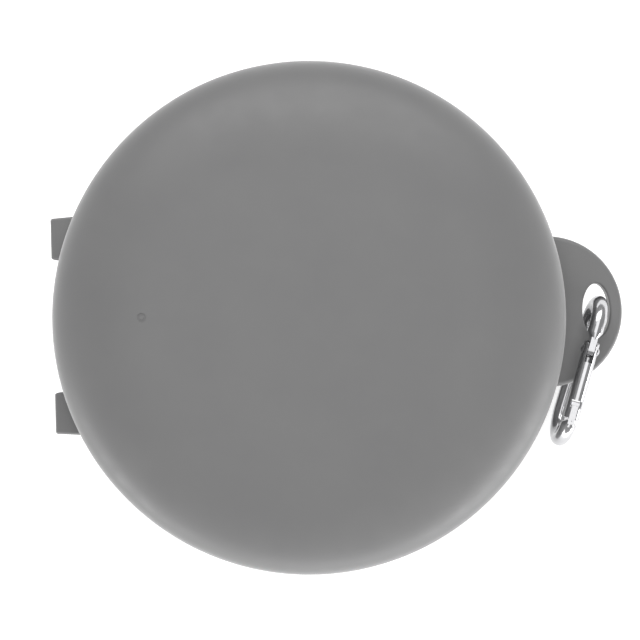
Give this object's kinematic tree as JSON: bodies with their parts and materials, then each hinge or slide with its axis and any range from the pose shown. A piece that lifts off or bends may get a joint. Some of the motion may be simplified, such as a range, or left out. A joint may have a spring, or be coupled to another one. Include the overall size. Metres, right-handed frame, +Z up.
{
  "type": "clamshell travel pet bowl",
  "caption": "Shallow silicone bowls hinged face to face for travel, with a round carrying tab and a steel snap hook clipped through its slot",
  "frame": {"origin": "centre of the lower bowl's flat base, on the floor", "axes": "+X from the hinge to the carrying tab, Y along the hinge, +Z up from the lower bowl to the lid"},
  "size_m": [0.182, 0.16, 0.048],
  "materials": {
    "silicone": "matte moulded silicone, mid grey",
    "seal": "soft matte silicone, darker grey",
    "pin_steel": "drawn stainless steel",
    "hook_steel": "polished nickel-plated steel",
    "plunger_steel": "plain turned steel",
    "spring_steel": "drawn spring wire"
  },
  "bodies": {
    "lower": {"lower_bowl": "silicone"},
    "lid": {"upper_bowl": "silicone", "rim_seal": "seal", "hinge_pin_left": "pin_steel", "hinge_pin_right": "pin_steel"},
    "carabiner": {"carabiner_body": "hook_steel", "gate_rivet": "hook_steel"},
    "gate": {"carabiner_gate": "hook_steel", "gate_spring": "spring_steel", "gate_plunger": "plunger_steel"}
  },
  "joints": [
    {"name": "lid_hinge", "type": "hinge", "parent": "lower", "child": "lid", "pos_m": [-0.0803, -0.0006, 0.024], "axis": [0, -1, 0], "range_deg": [0, 180]},
    {"name": "hook_swivel", "type": "hinge", "parent": "lower", "child": "carabiner", "pos_m": [0.0926, 0.00225, 0.024], "axis": [0, 0, 1], "range_deg": [-4, 60]},
    {"name": "gate_pivot", "type": "hinge", "parent": "carabiner", "child": "gate", "pos_m": [0.08812, -0.01258, 0.03051], "axis": [0.9548, -0.2967, -0.019], "range_deg": [0, 20], "stiffness_Nm_per_rad": 0.05, "springref_deg": -20.05}
  ]
}
